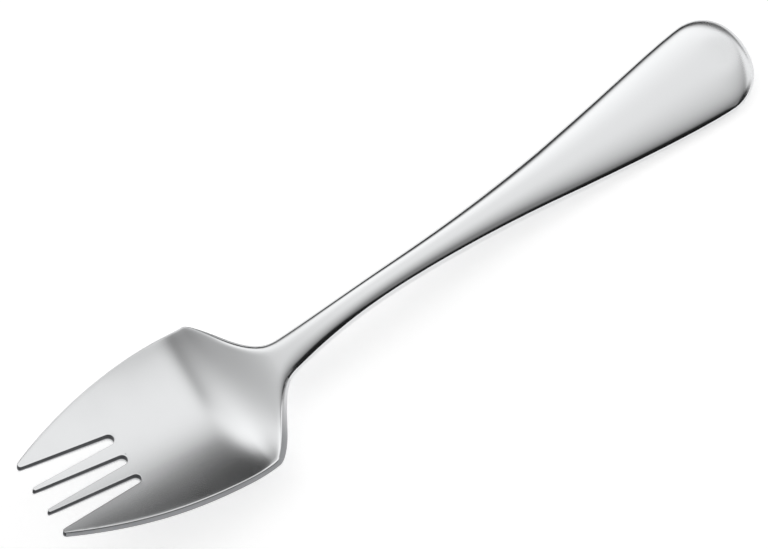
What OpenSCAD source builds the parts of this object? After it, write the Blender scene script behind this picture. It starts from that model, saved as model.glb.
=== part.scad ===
// Buffet fork: a one-piece stamped and polished stainless steel serving fork.
// It lies as it does on a table, the hollow of the bowl upwards, along X:
// the tine tips are at the -X end and the end of the handle is at the +X end.
// Positions along the fork are measured from the tine tips.

/* [Overall] */
// Length from the tine tips to the end of the handle
overall_length = 180; // [165:1:210]

/* [Head outline] */
// Width across the tips of the two outer tines
tip_span = 19.8; // [17:0.2:24]
// Width across the head at its widest
head_width = 41.4; // [34:0.2:46]
// Where the sides of the head have come out to full width
head_widest_at = 42; // [34:0.5:46]
// Where the shoulder corners are
shoulder_at = 50; // [48:0.2:52]
// Width across the shoulder corners before they are rounded
shoulder_width = 39.2; // [34:0.2:42]
// Half the length over which a shoulder corner is rounded
shoulder_round = 2.6; // [1.6:0.1:3.6]
// Where the throat corners are, between the shoulders and the neck
throat_at = 56; // [55:0.2:58]
// Width across the throat corners before they are rounded
throat_width = 9.8; // [8:0.1:12]
// Half the length over which a throat corner is rounded
throat_round = 5; // [3:0.2:6]

/* [Tines and slots] */
// Length of the slots, from the tine tips to the ends of their roots
slot_length = 20.6; // [16:0.2:25]
// Width of a slot where its round root begins
slot_root = 2.5; // [1.6:0.1:3.2]
// Width of an inner tine at its tip
inner_tip_width = 0.8; // [0.6:0.1:1.4]
// Width of an outer tine at its tip
outer_tip_width = 1; // [0.6:0.1:1.6]
// Width of an inner tine between the roots of its slots
inner_root_width = 3.1; // [2.4:0.1:4]
// Radius at a tine tip, seen from above
tine_tip_round = 0.45; // [0.3:0.05:0.6]

/* [Neck and handle outline] */
// Width of the neck at its narrowest
neck_width = 6.4; // [5:0.1:8.6]
// Where the neck has come in to its narrowest
neck_narrow_at = 74; // [70:1:80]
// Half the length over which its sides straighten there
neck_narrow_round = 10; // [5:0.5:12]
// Where the handle begins to widen, if its sides were straight
flare_at = 108.5; // [100:0.5:118]
// Half the length over which the sides turn outwards there
flare_round = 24; // [10:1:28]
// Width of the handle at its widest
handle_width = 23.8; // [18:0.2:28]
// Half the length over which the sides of the handle turn in to its widest part
handle_side_round = 3.5; // [2:0.5:8]
// Distance from the widest part of the handle to its end
handle_end_length = 10; // [7:0.5:14]
// Fullness of the rounded end: 2 is an ellipse, more is squarer
handle_end_fullness = 2.2; // [2:0.1:3]

/* [Thickness] */
// Thickness of the tines at their tips
tip_thickness = 1.9; // [1.2:0.1:2.4]
// Thickness of the bowl
bowl_thickness = 2.4; // [1.6:0.1:3]
// Where the bowl begins to thicken towards the neck
thin_to = 51; // [49:0.5:54]
// Where the neck is a full oval of its own thickness
thick_from = 64.5; // [62:0.5:70]
// Thickness of the neck
neck_thickness = 4.2; // [3:0.1:5]
// Thickness of the handle where it lies on the table
handle_thickness = 3.6; // [2.4:0.1:4.4]
// Share of the neck's thickness that is below its widest line
neck_lower_share = 0.56; // [0.4:0.02:0.6]
// Share of the handle's thickness that is below its widest line
handle_lower_share = 0.36; // [0.3:0.02:0.5]
// Radius at the rim of the head
rim_round = 0.3; // [0.2:0.05:0.8]
// Radius along the lower edge of the handle
handle_lower_round = 0.8; // [0.6:0.1:2]
// Share of its depth that the underside has lost at the very end of the handle
handle_end_lift = 0.95; // [0.5:0.05:0.95]
// Share of the half width over which the neck and the top of the handle are rounded
crown_share = 0.88; // [0.7:0.02:0.95]
// Share of the handle's rounded end over which its top is rounded lengthwise
end_crown_share = 0.25; // [0.2:0.05:0.8]
// Fullness of the rounded edges: 2 is an ellipse, more is squarer
edge_fullness = 2.2; // [2:0.1:3]

/* [Side profile] */
// Slope of the head, down from the tips to the heel of the bowl, in degrees
head_pitch = 21.4; // [14:0.2:26]
// Where the heel of the bowl is, its lowest part
heel_at = 46.8; // [44:0.2:49]
// Half the length over which the heel bends
heel_bend = 10; // [7:0.5:11]
// Slope of the throat, up from the heel to the neck, in degrees
throat_pitch = 31; // [22:0.5:34]
// Where the throat bends over into the neck
throat_bend_at = 57; // [55:0.5:60]
// Half the length over which the throat bends
throat_bend = 4; // [2:0.5:5]
// Height of the crest of the neck above the table, before it is rounded over
crest_height = 8.6; // [7.5:0.1:11]
// Where the crest of the neck is
crest_at = 80; // [76:1:90]
// Half the length over which the crest bends
crest_bend = 18; // [8:1:20]
// Where the underside of the handle comes down to the table
toe_at = 145; // [136:1:150]
// Half the length over which it comes down
toe_bend = 17; // [8:1:20]

/* [Dish] */
// Radius of the hollow across the tines
tine_dish_radius = 58; // [45:1:90]
// Radius of the hollow across the bowl
bowl_dish_radius = 40; // [34:1:60]
// Radius of the hollow between the shoulders
shoulder_dish_radius = 45; // [38:1:70]

/* [Pieces] */
// Where the bowl ends and the neck begins
neck_from = 59; // [58:0.2:61]
// Where the neck ends and the handle begins
handle_from = 92; // [86:1:100]

/* [Hidden] */
steel = [0.80, 0.81, 0.82];

// Rings along each piece, and points across half of a ring
tine_rings = 9;
tip_rings = 4;
root_rings = 6;
blade_rings = 14;
shoulder_rings = 24;
neck_rings = 20;
handle_rings = 24;
straight_rings = 2;
end_rings = 10;
across_inner = 4;
across_outer = 6;
across_rim = 3;
across = across_inner + across_outer + across_rim;

// Smooth step from 0 at a to 1 at b, and the area under it up to s
function share(s, a, b) = min(1, max(0, (s - a) / (b - a)));
function step_up(s, a, b) = let (t = share(s, a, b)) t * t * (3 - 2 * t);
function smooth_area(s, a, b) =
    let (t = share(s, a, b)) (b - a) * (t * t * t - t * t * t * t / 2) + max(0, s - b);
function even_area(s, a, b) =
    let (t = share(s, a, b)) (b - a) * t * t / 2 + max(0, s - b);

// Height at s of a line through points [position, height, half the length of the bend there].
// An even bend is part of a parabola, a smooth one also eases in and out.
function grade(points, i) = (points[i + 1][1] - points[i][1]) / (points[i + 1][0] - points[i][0]);
function bent(points, s, even = false, i = 1) =
    i == len(points) - 1 ? points[0][1] + grade(points, 0) * (s - points[0][0])
    : bent(points, s, even, i + 1) + (grade(points, i) - grade(points, i - 1))
        * (even ? even_area(s, points[i][0] - points[i][2], points[i][0] + points[i][2])
                : smooth_area(s, points[i][0] - points[i][2], points[i][0] + points[i][2]));

// The three slots fill what the four tine tips leave of the span
slot_mouth = (tip_span - 2 * inner_tip_width - 2 * outer_tip_width) / 3;
slot_pitch_tip = slot_mouth + inner_tip_width;
slot_pitch_root = slot_root + inner_root_width;
root_from = slot_length - slot_root / 2;

// Half the width of the fork in plan
handle_widest_at = overall_length - handle_end_length;
outline_points = [
    [0, tip_span / 2],
    [head_widest_at / 2, head_width / 2, head_widest_at / 2],
    [shoulder_at, shoulder_width / 2, shoulder_round],
    [throat_at, throat_width / 2, throat_round],
    [neck_narrow_at, neck_width / 2, neck_narrow_round],
    [flare_at, neck_width / 2, flare_round],
    [handle_widest_at - handle_side_round, handle_width / 2, handle_side_round],
    [overall_length, handle_width / 2]
];
function end_share(s) = max(0, s - handle_widest_at) / handle_end_length;
function end_factor(s) = pow(max(0, 1 - pow(end_share(s), handle_end_fullness)), 1 / handle_end_fullness);
function half_width(s) = bent(outline_points, s, true) * end_factor(s);
function side_grade(s) = (half_width(s + 0.05) - half_width(s - 0.05)) / 0.1;

// Height of the middle of the thickness along the centre of the fork.
// The lowest part of the heel and the end of the handle come down to the table.
blade_grade = -tan(head_pitch);
throat_grade = tan(throat_pitch);
heel_share = 0.5 - sin(asin(1 + 2 * blade_grade / (throat_grade - blade_grade)) / 3);
heel_lift = blade_grade * (2 * heel_share - 1) * heel_bend
    + (throat_grade - blade_grade) * 2 * heel_bend * (pow(heel_share, 3) - pow(heel_share, 4) / 2);
heel_height = bowl_thickness / 2 - heel_lift;
rest_height = handle_thickness * handle_lower_share;
profile_points = [
    [0, heel_height - blade_grade * heel_at],
    [heel_at, heel_height, heel_bend],
    [throat_bend_at, heel_height + throat_grade * (throat_bend_at - heel_at), throat_bend],
    [crest_at, crest_height, crest_bend],
    [toe_at, rest_height, toe_bend],
    [overall_length, rest_height]
];
function profile_angle(s) = atan((bent(profile_points, s + 0.05) - bent(profile_points, s - 0.05)) / 0.1);

// Thickness along the fork, and the share of it above the widest line
thickness_points = [
    [0, tip_thickness],
    [slot_length, bowl_thickness, slot_length / 3],
    [thin_to, bowl_thickness, (thick_from - thin_to) / 3],
    [thick_from, neck_thickness, (thick_from - thin_to) / 2],
    [toe_at, handle_thickness, toe_bend],
    [overall_length, handle_thickness]
];
function lower_share(s) =
    0.5 + (neck_lower_share - 0.5) * step_up(s, thin_to, thick_from)
    + (handle_lower_share - neck_lower_share) * step_up(s, thick_from, toe_at);

// Curve of the hollow across the head
dish_points = [
    [0, 1 / tine_dish_radius],
    [slot_length, 1 / tine_dish_radius, slot_length / 2],
    [head_widest_at, 1 / bowl_dish_radius, (head_widest_at - slot_length) / 3],
    [shoulder_at, 1 / shoulder_dish_radius, (shoulder_at - head_widest_at) / 3],
    [neck_from, 0, (neck_from - shoulder_at) / 2],
    [overall_length, 0]
];

// How far in from its edge a section is rounded, above and below:
// a narrow rim on the head, nearly all of the oval neck, a broad crown on top of the
// handle and a narrow rounding below it
function head_edge(s) = rim_round * sqrt(1 + pow(side_grade(s), 2));
function upper_edge(s, half) =
    let (oval = step_up(s, thin_to, thick_from), rim = min(head_edge(s), 0.45 * half))
    rim + (crown_share * half - rim) * oval;
function lower_edge(s, half) =
    let (oval = step_up(s, thin_to, thick_from), flat = step_up(s, thick_from, toe_at - toe_bend),
         rim = min(head_edge(s), 0.45 * half), round_part = crown_share * half,
         flat_part = min(handle_lower_round, round_part))
    rim + (round_part + (flat_part - round_part) * flat - rim) * oval;
function edge_factor(out, edge) =
    pow(max(0, 1 - pow(max(0, (out - 1 + edge) / edge), edge_fullness)), 1 / edge_fullness);

// One point of the skin: reach is how far the skin goes out there, above 0 on the upper side,
// below 0 on the lower side and 0 on the edge.
// Sections stand square to the side profile, and the trimmed rim stands upright in them.
// At the end of the handle the rounded edge changes from its own width to that of the end.
function skin_point(s, y, reach, span, height, angle, curve, edge, end_edge) =
    let (
        out = pow(pow(abs(y) / span, handle_end_fullness) + pow(end_share(s), handle_end_fullness),
                  1 / handle_end_fullness),
        endways = pow(end_share(s) / max(out, 0.001), 2),
        depth = reach == 0 ? 0 : reach * edge_factor(out, edge + (end_edge - edge) * endways),
        rise = y * y * curve / 2 + depth * sqrt(1 + pow(y * curve, 2))
    )
    [s - rise * sin(angle) - overall_length / 2, y, height + rise * cos(angle)];

// A ring at s: upper points at the places across given, then the lower ones backwards.
// Where first or last is 1, the section ends in one point on the edge there.
function ring(s, places, first, last) =
    let (
        span = s > handle_widest_at ? handle_width / 2 : half_width(s),
        height = bent(profile_points, s), angle = profile_angle(s),
        thick = bent(thickness_points, s), low = lower_share(s), curve = bent(dish_points, s),
        above = thick * (1 - low), below = thick * low * (1 - handle_end_lift * end_share(s)),
        edge_above = upper_edge(s, span) / span, edge_below = lower_edge(s, span) / span,
        n = len(places) - 1
    )
    concat(
        [for (k = [0 : n])
            skin_point(s, places[k], k == 0 && first == 1 || k == n && last == 1 ? 0 : above,
                       span, height, angle, curve, edge_above, end_crown_share)],
        [for (k = [n - last : -1 : first])
            skin_point(s, places[k], -below, span, height, angle, curve, edge_below, edge_below)]
    );

// A closed skin over rings one after the other, with flat ends
function lower_of(k, n, first, last) =
    k == 0 && first == 1 ? 0 : k == n && last == 1 ? n : 2 * n + 1 - last - k;
function end_strip(at, n, first, last, flip) =
    [for (k = [0 : n - 1])
        let (
            a = at + k, b = at + k + 1,
            c = at + lower_of(k + 1, n, first, last), d = at + lower_of(k, n, first, last),
            corners = a == d ? [a, b, c] : b == c ? [a, b, d] : [a, b, c, d]
        )
        flip ? [for (i = [len(corners) - 1 : -1 : 0]) corners[i]] : corners];
module skin(rings, n, first, last) {
    size = 2 * (n + 1) - first - last;
    count = len(rings);
    sides = [for (i = [0 : count - 2]) for (j = [0 : size - 1])
        [i * size + j, i * size + (j + 1) % size, (i + 1) * size + (j + 1) % size, (i + 1) * size + j]];
    polyhedron(
        points = [for (r = rings) for (p = r) p],
        faces = concat(
            sides,
            end_strip(0, n, first, last, true),
            end_strip((count - 1) * size, n, first, last, false)
        )
    );
}

// Places across a whole ring, from one edge to the other.
// At the slot roots they fit the places across the four tines.
function head_share(k) =
    let (half = half_width(slot_length), rim = head_edge(slot_length), split = slot_pitch_root)
    (k <= across_inner ? split * k / across_inner
     : k <= across_inner + across_outer ? split + (half - rim - split) * (k - across_inner) / across_outer
     : half - rim + rim * sin(90 * (k - across_inner - across_outer) / across_rim)) / half;
function across_share(s, k) =
    let (even = step_up(s, heel_at, neck_from)) head_share(k) + (sin(90 * k / across) - head_share(k)) * even;
function whole_places(s) =
    let (half = half_width(s))
    [for (k = [-across : across]) sign(k) * half * across_share(s, abs(k))];
function whole_rings(stations) = [for (s = stations) ring(s, whole_places(s), 1, 1)];
function even_stations(from, to, count) = [for (i = [0 : count]) from + (to - from) * i / count];

// The handle has few rings where it is straight, and none within its flat resting face
module handle() {
    straight_from = flare_at + flare_round;
    rest_from = toe_at + toe_bend;
    flare = even_stations(handle_from, straight_from, handle_rings);
    stations = concat(
        [for (i = [0 : handle_rings - 1]) flare[i]],
        even_stations(straight_from, rest_from, straight_rings),
        [for (i = [0 : end_rings]) handle_widest_at + handle_end_length * sin(88 * i / end_rings)]
    );
    color(steel)
    skin(whole_rings(stations), 2 * across, 1, 1);
}

module neck() {
    color(steel)
    skin(whole_rings(even_stations(neck_from, handle_from, neck_rings)), 2 * across, 1, 1);
}

module bowl() {
    fine_from = shoulder_at - 2 * shoulder_round;
    blade = even_stations(slot_length, fine_from, blade_rings);
    shoulders = even_stations(fine_from, neck_from, shoulder_rings);
    stations = concat([for (i = [0 : blade_rings - 1]) blade[i]], shoulders);
    color(steel)
    skin(whole_rings(stations), 2 * across, 1, 1);
}

// Slots: half their width, and how far the outer ones are from the middle
function slot_half(s) =
    s < root_from ? slot_mouth / 2 + (slot_root - slot_mouth) / 2 * s / root_from
    : sqrt(max(0, pow(slot_root / 2, 2) - pow(s - root_from, 2)));
function slot_middle(s) = slot_pitch_tip + (slot_pitch_root - slot_pitch_tip) * s / slot_length;

// The tips lean back with the head, so they start where their lower corners are at the very front
tip_from = tip_thickness / 2 * sin(head_pitch);
tip_to = tip_from + tine_tip_round;
tine_stations = concat(
    [for (i = [1 : tip_rings]) tip_from + tine_tip_round * (1 - cos(20 + 70 * (i - 1) / (tip_rings - 1)))],
    [for (i = [1 : tine_rings]) tip_to + (root_from - tip_to) * i / tine_rings],
    [for (i = [1 : root_rings]) root_from + slot_root / 2 * sin(90 * i / root_rings)]
);
function tip_factor(s) = let (t = share(s, tip_from, tip_to)) sqrt(max(0, 1 - pow(1 - t, 2)));

// Places across a tine between its two sides, drawn in to its middle at the rounded tip
function drawn_in(y, a, b, factor) = (a + b) / 2 + (y - (a + b) / 2) * factor;
function inner_places(s) =
    let (a = slot_half(s), b = slot_middle(s) - slot_half(s))
    [for (k = [0 : across_inner]) drawn_in(a + (b - a) * k / across_inner, a, b, tip_factor(s))];
function outer_places(s) =
    let (a = slot_middle(s) + slot_half(s), b = half_width(s), rim = min(head_edge(s), 0.45 * (b - a)))
    [for (k = [0 : across_outer + across_rim])
        drawn_in(
            k <= across_outer ? a + (b - rim - a) * k / across_outer
            : b - rim + rim * sin(90 * (k - across_outer) / across_rim),
            a, b, tip_factor(s)
        )];
function other_way(list) = [for (i = [len(list) - 1 : -1 : 0]) -list[i]];

module inner_tine(side) {
    rings = [for (s = tine_stations)
        let (places = inner_places(s)) ring(s, side > 0 ? places : other_way(places), 0, 0)];
    color(steel)
    skin(rings, across_inner, 0, 0);
}

module outer_tine(side) {
    rings = [for (s = tine_stations)
        let (places = outer_places(s))
        side > 0 ? ring(s, places, 0, 1) : ring(s, other_way(places), 1, 0)];
    color(steel)
    skin(rings, across_outer + across_rim, side > 0 ? 0 : 1, side > 0 ? 1 : 0);
}

module outer_tine_left() {
    outer_tine(1);
}

module inner_tine_left() {
    inner_tine(1);
}

module inner_tine_right() {
    inner_tine(-1);
}

module outer_tine_right() {
    outer_tine(-1);
}

handle();
neck();
bowl();
outer_tine_left();
inner_tine_left();
inner_tine_right();
outer_tine_right();
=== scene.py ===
"""A one-piece stainless steel buffet fork on a white studio floor."""
from math import cos, radians, sin

import bpy
from mathutils import Matrix, Vector


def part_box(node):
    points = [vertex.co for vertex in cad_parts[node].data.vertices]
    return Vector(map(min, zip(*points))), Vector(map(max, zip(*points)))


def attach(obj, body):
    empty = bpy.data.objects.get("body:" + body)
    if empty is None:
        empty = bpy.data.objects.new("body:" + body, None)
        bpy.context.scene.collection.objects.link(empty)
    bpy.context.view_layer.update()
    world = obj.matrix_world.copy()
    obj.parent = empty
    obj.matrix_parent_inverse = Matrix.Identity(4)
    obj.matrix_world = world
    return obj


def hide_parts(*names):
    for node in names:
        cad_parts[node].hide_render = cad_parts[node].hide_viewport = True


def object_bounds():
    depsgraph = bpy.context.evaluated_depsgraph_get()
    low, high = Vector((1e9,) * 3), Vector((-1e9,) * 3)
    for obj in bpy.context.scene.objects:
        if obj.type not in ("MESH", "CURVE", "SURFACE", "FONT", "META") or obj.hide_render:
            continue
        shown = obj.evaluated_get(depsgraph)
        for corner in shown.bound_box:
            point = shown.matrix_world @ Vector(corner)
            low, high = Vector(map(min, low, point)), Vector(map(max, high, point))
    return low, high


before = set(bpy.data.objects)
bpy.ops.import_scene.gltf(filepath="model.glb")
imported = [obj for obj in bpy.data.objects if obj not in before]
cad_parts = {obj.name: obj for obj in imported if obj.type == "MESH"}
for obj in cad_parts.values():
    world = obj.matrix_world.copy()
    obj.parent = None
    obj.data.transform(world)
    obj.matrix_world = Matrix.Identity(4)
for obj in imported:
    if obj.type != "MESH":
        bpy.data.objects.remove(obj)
CAD_LOW, CAD_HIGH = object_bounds()

bl_info = {
    "name": "Buffet fork",
    "version": (1, 0, 0),
    "blender": (4, 5, 0),
    "location": "View3D > Sidebar > Fork",
    "description": "Smooths the solids of a steel buffet fork, gives them their polish and sets the studio",
    "category": "Object",
}

HANDLE_PIECES = ("handle", "neck")
HEAD_PIECES = ("bowl", "outer_tine_left", "inner_tine_left", "inner_tine_right", "outer_tine_right")
SKIN = "fork_skin"

# Lengths are in metres. Along X come the tips, the ends of the slots, and the seam of bowl and neck
TINE_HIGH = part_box("inner_tine_left")[1]
TIP_END = CAD_LOW.x
TIP_LENGTH = 0.0009
SLOT_END = TINE_HIGH.x
SLOT_REACH = TINE_HIGH.y + 0.0005
NECK_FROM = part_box("neck")[0].x
HANDLE_END = CAD_HIGH.x

# The sheet of the tines: its slope, the radius of its hollow, and its middle carried on to X = 0
TINE_SLOPE = 0.392
TINE_HOLLOW = 0.058
HALF_SHEET = 0.00085
SHEET_MIDDLE = TINE_HIGH.z + TINE_SLOPE * TIP_END - HALF_SHEET
# How far below that middle a slot wall begins and ends to go over from its lower tone, bare steel, to its
# upper tone, a painted dark reflection
TONE_FROM, TONE_TO = 0.0008, 0.0001

# Points closer than this are one point
WELD = 1e-6
# How squarely a face looks along X where two solids meet, and how far from the solid's end it may lie
SEAM_FACING = 0.85
SEAM_DEPTH = 0.0022
# Edges sharper than this are stamped edges
STAMPED_EDGE = radians(55)
# How squarely a face of the head looks up or down to keep the bare steel instead of painted shade, and
# forwards if it is a tip
BARE_STEEL_FACING = 0.8
TIP_FACING = 0.6

# The floor lies this far below the fork, so that the two don't share a plane
FLOOR_GAP = 0.00002
FLOOR_SIZE = 6

# Setting of a ramp that eases in and out
EASED = {"interpolation_type": "SMOOTHSTEP"}


def linear(hex_colour):
    """A hex sRGB colour as linear red, green and blue."""
    parts = [int(hex_colour[i:i + 2], 16) / 255 for i in (1, 3, 5)]
    return tuple(c / 12.92 if c <= 0.04045 else ((c + 0.055) / 1.055) ** 2.4 for c in parts)


class ForkShape(bpy.types.PropertyGroup):
    """How the skin of the fork is smoothed."""

    edge_round: bpy.props.FloatProperty(
        name="Slot edge", description="How far the edges of the slots and tips are rounded",
        default=0.00022, min=0.0001, max=0.0004, precision=5, unit="LENGTH")
    smoothing: bpy.props.IntProperty(
        name="Smoothing", description="How often each face of the skin is divided", default=1, min=1, max=2)


class ForkFinish(bpy.types.PropertyGroup):
    """The polish of the steel, and the painted shade on the rim and the slot walls."""

    steel: bpy.props.FloatVectorProperty(
        name="Steel", description="Colour of the bare steel", subtype="COLOR",
        default=linear("#E1E2E3"), min=0, max=1)
    # Painted shade: the rim walls are coloured a darker grey than the steel, standing in for the shaded
    # floor they mirror
    rim_shade: bpy.props.FloatVectorProperty(
        name="Rim shade", description="Grey of the rim walls, darkened as painted shade", subtype="COLOR",
        default=linear("#929395"), min=0, max=1)
    # Painted shade: the upper half of the slot walls and the tips is coloured dark, standing in for the
    # dark room and shade they mirror
    slot_shade: bpy.props.FloatVectorProperty(
        name="Slot wall shade", description="Dark upper tone of the slot walls and tips, a painted dark reflection", subtype="COLOR",
        default=linear("#3A3B3E"), min=0, max=1)
    mirror: bpy.props.FloatProperty(
        name="Mirror polish", description="Roughness of the polished handle",
        default=0.13, min=0.03, max=0.3, subtype="FACTOR")
    satin: bpy.props.FloatProperty(
        name="Satin polish", description="Roughness of the satin head",
        default=0.21, min=0.1, max=0.5, subtype="FACTOR")
    line_width: bpy.props.FloatProperty(
        name="Polishing lines", description="Width of the finest lines that the polishing wheel left",
        default=0.0003, min=0.0001, max=0.001, precision=5, unit="LENGTH")
    wear_size: bpy.props.FloatProperty(
        name="Wear patches", description="Size of the patches that use has dulled",
        default=0.012, min=0.004, max=0.03, unit="LENGTH")
    edge: bpy.props.FloatProperty(
        name="Edge roughness", description="Roughness of the rim and of the slot walls",
        default=0.4, min=0.2, max=0.7, subtype="FACTOR")


class ForkStudio(bpy.types.PropertyGroup):
    """The floor, the light and the camera."""

    floor: bpy.props.FloatVectorProperty(
        name="Floor", description="Colour of the studio floor", subtype="COLOR",
        default=linear("#F4F4F4"), min=0, max=1)
    light: bpy.props.FloatProperty(
        name="Soft light", description="Strength of the large soft light overhead",
        default=1.0, min=0.2, max=3)
    glow: bpy.props.FloatProperty(
        name="Floor glow", description="How much the floor is lifted towards white",
        default=0.53, min=0, max=1)
    camera_tilt: bpy.props.FloatProperty(
        name="Camera height", description="Angle of the camera above the floor",
        default=radians(65), subtype="ANGLE")
    camera_roll: bpy.props.FloatProperty(
        name="Camera roll", description="How steeply the fork lies across the picture",
        default=radians(35.4), subtype="ANGLE")
    camera_away: bpy.props.FloatProperty(
        name="Camera distance", description="How far the camera is from the fork",
        default=5.0, unit="LENGTH")
    picture_span: bpy.props.FloatProperty(
        name="Picture width", description="Length that fits across the picture",
        default=0.1646, precision=4, unit="LENGTH")
    aim: bpy.props.FloatVectorProperty(
        name="Aim", description="Point in the middle of the picture", subtype="XYZ", unit="LENGTH",
        precision=4, default=(-0.00145, 0.0028, 0.005))


def add_node(tree, kind, links=(), **settings):
    """Adds a node, sets its values, and links (input, output socket) pairs to it.

    A setting named for an attribute sets it, and inputs={...} fills the input sockets."""
    node = tree.nodes.new(kind)
    inputs = settings.pop("inputs", {})
    for name, value in settings.items():
        setattr(node, name, value)
    for name, value in inputs.items():
        node.inputs[name].default_value = value
    for name, socket in links:
        tree.links.new(socket, node.inputs[name])
    return node


def only(obj):
    """Selects one object alone and makes it active."""
    bpy.ops.object.select_all(action="DESELECT")
    obj.select_set(True)
    bpy.context.view_layer.objects.active = obj


def select_faces(obj, wanted):
    """In edit mode, selects the faces for which wanted(face) is true."""
    bpy.ops.mesh.select_mode(type="FACE")
    bpy.ops.mesh.select_all(action="DESELECT")
    bpy.ops.object.mode_set(mode="OBJECT")
    for face in obj.data.polygons:
        face.select = wanted(face)
    bpy.ops.object.mode_set(mode="EDIT")


def copy_solid(name):
    """A welded copy of a solid without the flat ends where it meets its neighbours."""
    piece = bpy.data.objects.new(name + "_copy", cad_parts[name].data.copy())
    bpy.context.scene.collection.objects.link(piece)
    piece.data.materials.clear()
    piece.data.materials.append(bpy.data.materials.new(name))
    low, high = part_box(name)
    only(piece)
    bpy.ops.object.mode_set(mode="EDIT")
    bpy.ops.mesh.select_all(action="SELECT")
    bpy.ops.mesh.remove_doubles(threshold=WELD)

    def meets_neighbour(face):
        at_back = face.normal.x > SEAM_FACING and face.center.x > high.x - SEAM_DEPTH
        at_front = face.normal.x < -SEAM_FACING and face.center.x < low.x + SEAM_DEPTH
        return at_back and name != "handle" or at_front and "tine" not in name

    select_faces(piece, meets_neighbour)
    bpy.ops.mesh.delete(type="FACE")
    bpy.ops.object.mode_set(mode="OBJECT")
    return piece


class FORK_OT_skin(bpy.types.Operator):
    """Joins copies of the solids into one smooth skin"""

    bl_idname = "fork.skin"
    bl_label = "Smooth the skin"

    def execute(self, context):
        shape = context.scene.fork_shape
        pieces = [copy_solid(name) for name in HANDLE_PIECES + HEAD_PIECES]
        bpy.ops.object.select_all(action="DESELECT")
        for piece in pieces:
            piece.select_set(True)
        context.view_layer.objects.active = pieces[0]
        bpy.ops.object.join()
        skin = context.view_layer.objects.active
        skin.name = SKIN
        bpy.ops.object.mode_set(mode="EDIT")
        bpy.ops.mesh.select_all(action="SELECT")
        bpy.ops.mesh.remove_doubles(threshold=WELD)
        bpy.ops.mesh.tris_convert_to_quads(
            face_threshold=radians(100), shape_threshold=radians(170), topology_influence=1.5)
        bpy.ops.mesh.select_mode(type="EDGE")
        bpy.ops.mesh.select_all(action="DESELECT")
        bpy.ops.mesh.select_non_manifold()
        bpy.ops.object.mode_set(mode="OBJECT")
        open_edges = sum(edge.select for edge in skin.data.edges)
        if open_edges:
            raise RuntimeError(f"the skin has {open_edges} open edges")
        self.round_slot_edges(skin, shape.edge_round)
        smooth = skin.modifiers.new("smooth", "SUBSURF")
        smooth.levels = shape.smoothing
        smooth.render_levels = shape.smoothing
        bpy.ops.object.modifier_apply(modifier="smooth")
        bpy.ops.object.shade_smooth()
        return {"FINISHED"}

    def round_slot_edges(self, skin, size):
        """Rounds the square edges that were stamped along the slots, back from the tips."""
        bpy.ops.object.mode_set(mode="EDIT")
        bpy.ops.mesh.select_all(action="DESELECT")
        bpy.ops.mesh.edges_select_sharp(sharpness=STAMPED_EDGE)
        bpy.ops.object.mode_set(mode="OBJECT")
        points = skin.data.vertices
        for edge in skin.data.edges:
            ends = [points[i].co.x for i in edge.vertices]
            along_slot = min(ends) > TIP_END + TIP_LENGTH and max(ends) < SLOT_END + size
            edge.select = edge.select and along_slot
        bpy.ops.object.mode_set(mode="EDIT")
        bpy.ops.mesh.bevel(offset=size, segments=2, profile=0.5, affect="EDGES", clamp_overlap=True)
        bpy.ops.object.mode_set(mode="OBJECT")


def part_pieces(names, finishes):
    """Parts the named pieces from the skin, closes them, and gives them their finishes.

    The normals of the whole skin are kept, so nothing shows where two pieces meet."""
    skin = bpy.data.objects[SKIN]
    normals = {tuple(point.co): point.normal.copy() for point in skin.data.vertices}
    for name in names:
        index = skin.data.materials.find(name)
        only(skin)
        bpy.ops.object.mode_set(mode="EDIT")
        select_faces(skin, lambda face: face.material_index == index)
        bpy.ops.mesh.separate(type="SELECTED")
        bpy.ops.object.mode_set(mode="OBJECT")
        piece = next(obj for obj in bpy.context.selected_objects if obj != skin)
        piece.name = "steel_" + name
        piece.data.materials.clear()
        for finish in finishes:
            piece.data.materials.append(finish)
        for face in piece.data.polygons:
            face.material_index = edge_kind(face) if len(finishes) > 1 else 0
        close_piece(piece)
        keep_normals(piece, normals)
        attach(piece, "root")
        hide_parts(name)


def edge_kind(face):
    """The finish of a face of the head: 0 for the polished top and bottom, 1 for the rim and 2 for a slot
    or tip, both with painted shade.
    """
    if abs(face.normal.z) > BARE_STEEL_FACING:
        return 0
    inward = face.normal.y * face.center.y < 0
    tip = face.normal.x < -TIP_FACING
    inner = abs(face.center.y) < SLOT_REACH and face.center.x < SLOT_END + TIP_LENGTH
    return 2 if inward or tip or inner else 1


def close_piece(piece):
    """Fills the open ends of a piece with flat faces."""
    only(piece)
    bpy.ops.object.mode_set(mode="EDIT")
    bpy.ops.mesh.select_mode(type="EDGE")
    bpy.ops.mesh.select_all(action="DESELECT")
    bpy.ops.mesh.select_non_manifold(
        use_wire=False, use_boundary=True, use_multi_face=False, use_non_contiguous=False, use_verts=False)
    bpy.ops.mesh.fill_holes(sides=0)
    bpy.ops.object.mode_set(mode="OBJECT")


def keep_normals(piece, normals):
    """Gives each corner the normal that the whole skin had there, and the ends their own."""
    mesh = piece.data
    corners = []
    for face in mesh.polygons:
        end = len(face.vertices) > 4
        for corner in face.vertices:
            corners.append(face.normal if end else normals[tuple(mesh.vertices[corner].co)])
    mesh.normals_split_custom_set(corners)


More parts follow.
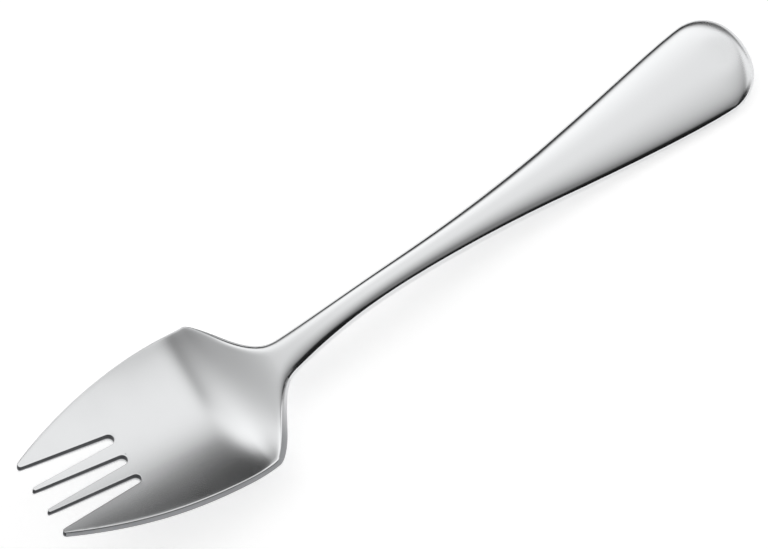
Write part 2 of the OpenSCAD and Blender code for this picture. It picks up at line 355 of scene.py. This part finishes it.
def stainless_steel(name, finish, rough_from, rough_to, blend_from, blend_to):
    """Stainless steel, polished along its length: neutral grey, with hairlines from the wheel,
    patches that use has dulled a little, a polish that changes along the fork, and an end that
    drawers and hands have rubbed duller."""
    material = bpy.data.materials.new(name)
    material.use_nodes = True
    tree = material.node_tree
    tree.nodes.clear()
    place = add_node(tree, "ShaderNodeTexCoord")

    # Lines of the polishing wheel run along the fork. Real ones are finer than a pixel, so these are
    # drawn as wide as line_width and 20 mm long
    along, across = 1 / 0.020, 1 / finish.line_width
    stretch = add_node(tree, "ShaderNodeMapping", [("Vector", place.outputs["Object"])],
                       inputs={"Scale": (along, across, across)})
    lines = add_node(tree, "ShaderNodeTexNoise", [("Vector", stretch.outputs["Vector"])],
                     inputs={"Scale": 1, "Detail": 3, "Roughness": 0.6})
    wear = add_node(tree, "ShaderNodeTexNoise", [("Vector", place.outputs["Object"])],
                    inputs={"Scale": 1 / finish.wear_size, "Detail": 4, "Roughness": 0.55})

    # The polish changes from the satin head to the mirror handle, and goes off in its last 10 mm
    parts = add_node(tree, "ShaderNodeSeparateXYZ", [("Vector", place.outputs["Object"])])
    polish = add_node(tree, "ShaderNodeMapRange", [("Value", parts.outputs["X"])], **EASED,
                      inputs={"From Min": blend_from, "From Max": blend_to,
                              "To Min": rough_from, "To Max": rough_to})
    dulled = add_node(tree, "ShaderNodeMapRange", [("Value", wear.outputs["Fac"])],
                      inputs={"From Min": 0.35, "From Max": 0.7, "To Min": 0.94, "To Max": 1.08})
    hairline = add_node(tree, "ShaderNodeMapRange", [("Value", lines.outputs["Fac"])],
                        inputs={"From Min": 0.3, "From Max": 0.7, "To Min": 0.96, "To Max": 1.04})
    rubbed = add_node(tree, "ShaderNodeMapRange", [("Value", parts.outputs["X"])], **EASED,
                      inputs={"From Min": HANDLE_END - 0.010, "From Max": HANDLE_END - 0.002,
                              "To Min": 1, "To Max": 2.2})
    roughness = polish
    for change in (dulled, hairline, rubbed):
        roughness = add_node(tree, "ShaderNodeMath", operation="MULTIPLY",
                             links=[(0, roughness.outputs[0]), (1, change.outputs["Result"])])

    steel = add_node(tree, "ShaderNodeBsdfPrincipled", [("Roughness", roughness.outputs["Value"])],
                     inputs={"Base Color": (*finish.steel, 1), "Metallic": 1})
    add_node(tree, "ShaderNodeOutputMaterial", [("Surface", steel.outputs["BSDF"])])
    return material


def steel_with_painted_shade(name, upper, lower, finish):
    """Steel with painted shade: a grey darker than the polished steel stands in for the shaded floor and
    dark room that these walls mirror, in two tones above and below the middle of the sheet, going over to
    the bare steel colour towards the neck. It is rough, so it mirrors nothing clearly, and a little rougher
    where the tool dragged."""
    material = bpy.data.materials.new(name)
    material.use_nodes = True
    tree = material.node_tree
    tree.nodes.clear()
    place = add_node(tree, "ShaderNodeTexCoord")
    drag = add_node(tree, "ShaderNodeTexNoise", [("Vector", place.outputs["Object"])],
                    inputs={"Scale": 1 / finish.wear_size, "Detail": 3})
    dull = add_node(tree, "ShaderNodeMapRange", [("Value", drag.outputs["Fac"])],
                    inputs={"From Min": 0.3, "From Max": 0.7,
                            "To Min": finish.edge * 0.85, "To Max": finish.edge * 1.15})
    parts = add_node(tree, "ShaderNodeSeparateXYZ", [("Vector", place.outputs["Object"])])
    # The painted shade fades into the bare steel colour towards the neck
    polish = add_node(tree, "ShaderNodeMapRange", [("Value", parts.outputs["X"])], **EASED,
                      inputs={"From Min": NECK_FROM - 0.009, "From Max": NECK_FROM - 0.001})

    # Height above the middle of the sheet, which slopes down from the tips and is hollowed across
    slope = add_node(tree, "ShaderNodeVectorMath", [(0, place.outputs["Object"])],
                     operation="DOT_PRODUCT", inputs={1: (TINE_SLOPE, 0, 1)})
    hollow = add_node(tree, "ShaderNodeMath", operation="MULTIPLY",
                      links=[(0, parts.outputs["Y"]), (1, parts.outputs["Y"])])
    flat = add_node(tree, "ShaderNodeMath", operation="MULTIPLY_ADD", inputs={1: -0.5 / TINE_HOLLOW},
                    links=[(0, hollow.outputs["Value"]), (2, slope.outputs["Value"])])
    side = add_node(tree, "ShaderNodeMapRange", [("Value", flat.outputs["Value"])], **EASED,
                    inputs={"From Min": SHEET_MIDDLE - TONE_FROM, "From Max": SHEET_MIDDLE - TONE_TO})

    # A Mix node has its two colours at inputs 6 and 7, and the mixed one at output 2
    # Painted shade: the two tones split a wall at the middle of the sheet, the upper one a painted dark
    # reflection on the slot walls; the rim has one painted grey
    painted_shade_tones = add_node(tree, "ShaderNodeMix", [("Factor", side.outputs["Result"])], data_type="RGBA",
                       inputs={6: (*lower, 1), 7: (*upper, 1)})
    tone = add_node(tree, "ShaderNodeMix", data_type="RGBA", inputs={7: (*finish.steel, 1)},
                    links=[("Factor", polish.outputs["Result"]), (6, painted_shade_tones.outputs[2])])
    steel = add_node(tree, "ShaderNodeBsdfPrincipled", inputs={"Metallic": 1},
                     links=[("Base Color", tone.outputs[2]), ("Roughness", dull.outputs["Result"])])
    add_node(tree, "ShaderNodeOutputMaterial", [("Surface", steel.outputs["BSDF"])])
    return material


class FORK_OT_handle(bpy.types.Operator):
    """Makes the polished handle and neck"""

    bl_idname = "fork.handle"
    bl_label = "Handle and neck"

    def execute(self, context):
        finish = context.scene.fork_finish
        between = (finish.satin + finish.mirror) / 2
        steel = stainless_steel("mirror_polished_stainless_steel", finish, between, finish.mirror,
                                NECK_FROM, NECK_FROM + 0.020)
        part_pieces(HANDLE_PIECES, [steel])
        return {"FINISHED"}


class FORK_OT_head(bpy.types.Operator):
    """Makes the satin bowl and its four tines"""

    bl_idname = "fork.head"
    bl_label = "Bowl and tines"

    def execute(self, context):
        finish = context.scene.fork_finish
        between = (finish.satin + finish.mirror) / 2
        steel = stainless_steel("satin_polished_stainless_steel", finish, finish.satin, between,
                                NECK_FROM - 0.015, NECK_FROM)
        # The rim and the slot walls carry painted shade in their colours
        rim = steel_with_painted_shade("rim_steel_painted_shade", finish.rim_shade, finish.rim_shade, finish)
        walls = steel_with_painted_shade("slot_wall_steel_painted_shade", finish.slot_shade, finish.steel, finish)
        part_pieces(HEAD_PIECES, [steel, rim, walls])
        bpy.data.objects.remove(bpy.data.objects[SKIN])
        return {"FINISHED"}


class FORK_OT_studio(bpy.types.Operator):
    """Sets the floor, the soft light overhead and the camera"""

    bl_idname = "fork.studio"
    bl_label = "Studio"

    def execute(self, context):
        studio = context.scene.fork_studio
        self.make_floor(studio)
        self.make_light(context.scene, studio)
        self.make_camera(context.scene, studio)
        context.scene.view_settings.view_transform = "Standard"
        return {"FINISHED"}

    def make_floor(self, studio):
        """A white paper sweep that takes the fork's shadow."""
        bpy.ops.object.select_all(action="DESELECT")
        bpy.ops.mesh.primitive_plane_add(size=FLOOR_SIZE, location=(0, 0, -FLOOR_GAP))
        floor = bpy.context.view_layer.objects.active
        floor.name = "floor"
        material = bpy.data.materials.new("white_paper")
        material.use_nodes = True
        tree = material.node_tree
        tree.nodes.clear()
        ray = add_node(tree, "ShaderNodeLightPath")
        seen = add_node(tree, "ShaderNodeMath", operation="ADD",
                        links=[(0, ray.outputs["Is Camera Ray"]), (1, ray.outputs["Is Glossy Ray"])])
        shown = add_node(tree, "ShaderNodeMath", operation="ADD", use_clamp=True,
                         links=[(0, seen.outputs["Value"]), (1, ray.outputs["Is Transmission Ray"])])
        lift = add_node(tree, "ShaderNodeMath", operation="MULTIPLY",
                        links=[(0, shown.outputs["Value"])], inputs={1: studio.glow})
        paper = add_node(tree, "ShaderNodeBsdfDiffuse", inputs={"Color": (*studio.floor, 1)})
        glow = add_node(tree, "ShaderNodeEmission", [("Strength", lift.outputs["Value"])])
        both = add_node(tree, "ShaderNodeAddShader",
                        [(0, paper.outputs["BSDF"]), (1, glow.outputs["Emission"])])
        add_node(tree, "ShaderNodeOutputMaterial", [("Surface", both.outputs["Shader"])])
        floor.data.materials.append(material)

    def make_light(self, scene, studio):
        """A wide soft box overhead, brighter at its far side, and a bright card beyond the handle.

        The room is dark towards the camera, and low down behind the fork. A ramp reads the direction
        that is looked in: X along the fork to the handle's end, Y away from the camera, Z up."""
        world = bpy.data.worlds.new("studio")
        world.use_nodes = True
        scene.world = world
        tree = world.node_tree
        tree.nodes.clear()
        place = add_node(tree, "ShaderNodeTexCoord")
        way = add_node(tree, "ShaderNodeSeparateXYZ", [("Vector", place.outputs["Generated"])])

        # The soft box gets brighter from its near to its far side, and dimmer towards the tips
        level = add_node(tree, "ShaderNodeMapRange", [("Value", way.outputs["Y"])],
                         inputs={"From Min": -0.5, "From Max": 0.75, "To Min": 0.24, "To Max": 1.26})
        left = add_node(tree, "ShaderNodeMapRange", [("Value", way.outputs["X"])], **EASED,
                        inputs={"From Min": -0.95, "From Max": 0.1, "To Min": 0.58, "To Max": 1})

        # It is dimmer again beside the card, but not at its far side
        beside = add_node(tree, "ShaderNodeMapRange", [("Value", way.outputs["Y"])], **EASED,
                          inputs={"From Min": 0.15, "From Max": 0.45, "To Min": 0.66, "To Max": 1})
        right = add_node(tree, "ShaderNodeMapRange", **EASED,
                         links=[("Value", way.outputs["X"]), ("To Max", beside.outputs["Result"])],
                         inputs={"From Min": 0.2, "From Max": 0.48, "To Min": 1})

        # It fades out low down behind the fork, earlier towards the handle's end
        height = add_node(tree, "ShaderNodeMath", [(0, way.outputs["Z"])], operation="MAXIMUM",
                          inputs={1: 0.02})
        back = add_node(tree, "ShaderNodeVectorMath", [(0, place.outputs["Generated"])],
                        operation="DOT_PRODUCT", inputs={1: (2.3, 1, 0)})
        slant = add_node(tree, "ShaderNodeMath", operation="DIVIDE",
                         links=[(0, back.outputs["Value"]), (1, height.outputs["Value"])])
        far = add_node(tree, "ShaderNodeMapRange", [("Value", slant.outputs["Value"])], **EASED,
                       inputs={"From Min": 1.7, "From Max": 3.9, "To Min": 1, "To Max": 0.12})
        behind = add_node(tree, "ShaderNodeMath", operation="DIVIDE",
                          links=[(0, way.outputs["Y"]), (1, height.outputs["Value"])])
        low = add_node(tree, "ShaderNodeMapRange", [("Value", behind.outputs["Value"])], **EASED,
                       inputs={"From Min": 1.3, "From Max": 3.2, "To Min": 1, "To Max": 0.25})
        box = level
        for part in (left, right, far, low):
            box = add_node(tree, "ShaderNodeMath", operation="MULTIPLY",
                           links=[(0, box.outputs[0]), (1, part.outputs["Result"])])

        # The card stands beyond the handle's end and goes into shade behind the fork
        upright = add_node(tree, "ShaderNodeMapRange", [("Value", way.outputs["X"])], **EASED,
                           inputs={"From Min": 0.36, "From Max": 0.61, "To Max": 1.1})
        shade = add_node(tree, "ShaderNodeMapRange", [("Value", behind.outputs["Value"])], **EASED,
                         inputs={"From Min": 0.4, "From Max": 1.8, "To Min": 1, "To Max": 0.1})
        card = add_node(tree, "ShaderNodeMath", operation="MULTIPLY",
                        links=[(0, upright.outputs["Result"]), (1, shade.outputs["Result"])])
        lit = add_node(tree, "ShaderNodeMath", operation="MAXIMUM",
                       links=[(0, box.outputs["Value"]), (1, card.outputs["Value"])])

        # Both end towards the camera: further out in the middle, and at the sides they only fade to half
        middle = add_node(tree, "ShaderNodeMath", [(0, way.outputs["X"])], operation="SUBTRACT",
                          inputs={1: 0.1})
        aside = add_node(tree, "ShaderNodeMath", [(0, middle.outputs["Value"])], operation="ABSOLUTE")
        bulge = add_node(tree, "ShaderNodeMapRange", [("Value", aside.outputs["Value"])], **EASED,
                         inputs={"From Min": 0, "From Max": 0.26, "To Min": 0.38, "To Max": 0})
        reach = add_node(tree, "ShaderNodeMath", operation="ADD",
                         links=[(0, way.outputs["Y"]), (1, bulge.outputs["Result"])])
        sides = add_node(tree, "ShaderNodeMapRange", [("Value", aside.outputs["Value"])], **EASED,
                         inputs={"From Min": 0.42, "From Max": 0.75, "To Min": 0, "To Max": 0.55})
        near = add_node(tree, "ShaderNodeMapRange", **EASED,
                        links=[("Value", reach.outputs["Value"]), ("To Min", sides.outputs["Result"])],
                        inputs={"From Min": -0.55, "From Max": -0.37})
        shown = add_node(tree, "ShaderNodeMath", operation="MULTIPLY",
                         links=[(0, lit.outputs["Value"]), (1, near.outputs["Result"])])

        # What the light leaves out is nearly black
        strength = add_node(tree, "ShaderNodeMath", [(0, shown.outputs["Value"])], operation="MULTIPLY_ADD",
                            inputs={1: studio.light, 2: 0.012})
        room = add_node(tree, "ShaderNodeBackground", [("Strength", strength.outputs["Value"])],
                        inputs={"Color": (1, 1, 1, 1)})
        add_node(tree, "ShaderNodeOutputWorld", [("Surface", room.outputs["Background"])])

    def make_camera(self, scene, studio):
        """Looks down from the near side, rolled so that the fork lies across the picture."""
        camera = bpy.data.objects.new("camera", bpy.data.cameras.new("camera"))
        scene.collection.objects.link(camera)
        scene.camera = camera
        camera.data.sensor_width = 36
        camera.data.lens = camera.data.sensor_width * studio.camera_away / studio.picture_span
        tilt, roll = studio.camera_tilt, studio.camera_roll
        back = Vector((0, -cos(tilt), sin(tilt)))
        along, over = Vector((1, 0, 0)), Vector((0, sin(tilt), cos(tilt)))
        right = along * cos(roll) - over * sin(roll)
        up = along * sin(roll) + over * cos(roll)
        turn = Matrix((right, up, back)).transposed().to_4x4()
        camera.matrix_world = Matrix.Translation(Vector(studio.aim) + back * studio.camera_away) @ turn


class FORK_PT_panel(bpy.types.Panel):
    """The fork's settings and steps"""

    bl_idname = "FORK_PT_panel"
    bl_label = "Buffet fork"
    bl_space_type = "VIEW_3D"
    bl_region_type = "UI"
    bl_category = "Fork"

    def draw(self, context):
        for group in (context.scene.fork_shape, context.scene.fork_finish, context.scene.fork_studio):
            for name in group.__annotations__:
                self.layout.prop(group, name)
        for step in STEPS:
            self.layout.operator(step.bl_idname)


STEPS = (FORK_OT_skin, FORK_OT_handle, FORK_OT_head, FORK_OT_studio)
CLASSES = (ForkShape, ForkFinish, ForkStudio, *STEPS, FORK_PT_panel)


def register():
    """Makes the fork's settings, steps and panel known to Blender."""
    for cls in CLASSES:
        bpy.utils.register_class(cls)
    bpy.types.Scene.fork_shape = bpy.props.PointerProperty(type=ForkShape)
    bpy.types.Scene.fork_finish = bpy.props.PointerProperty(type=ForkFinish)
    bpy.types.Scene.fork_studio = bpy.props.PointerProperty(type=ForkStudio)


def unregister():
    """Takes them out again."""
    del bpy.types.Scene.fork_studio
    del bpy.types.Scene.fork_finish
    del bpy.types.Scene.fork_shape
    for cls in reversed(CLASSES):
        bpy.utils.unregister_class(cls)


def main():
    """Builds the fork and its studio."""
    register()
    bpy.ops.fork.skin()
    bpy.ops.fork.handle()
    bpy.ops.fork.head()
    bpy.ops.fork.studio()


if __name__ == "__main__":
    main()
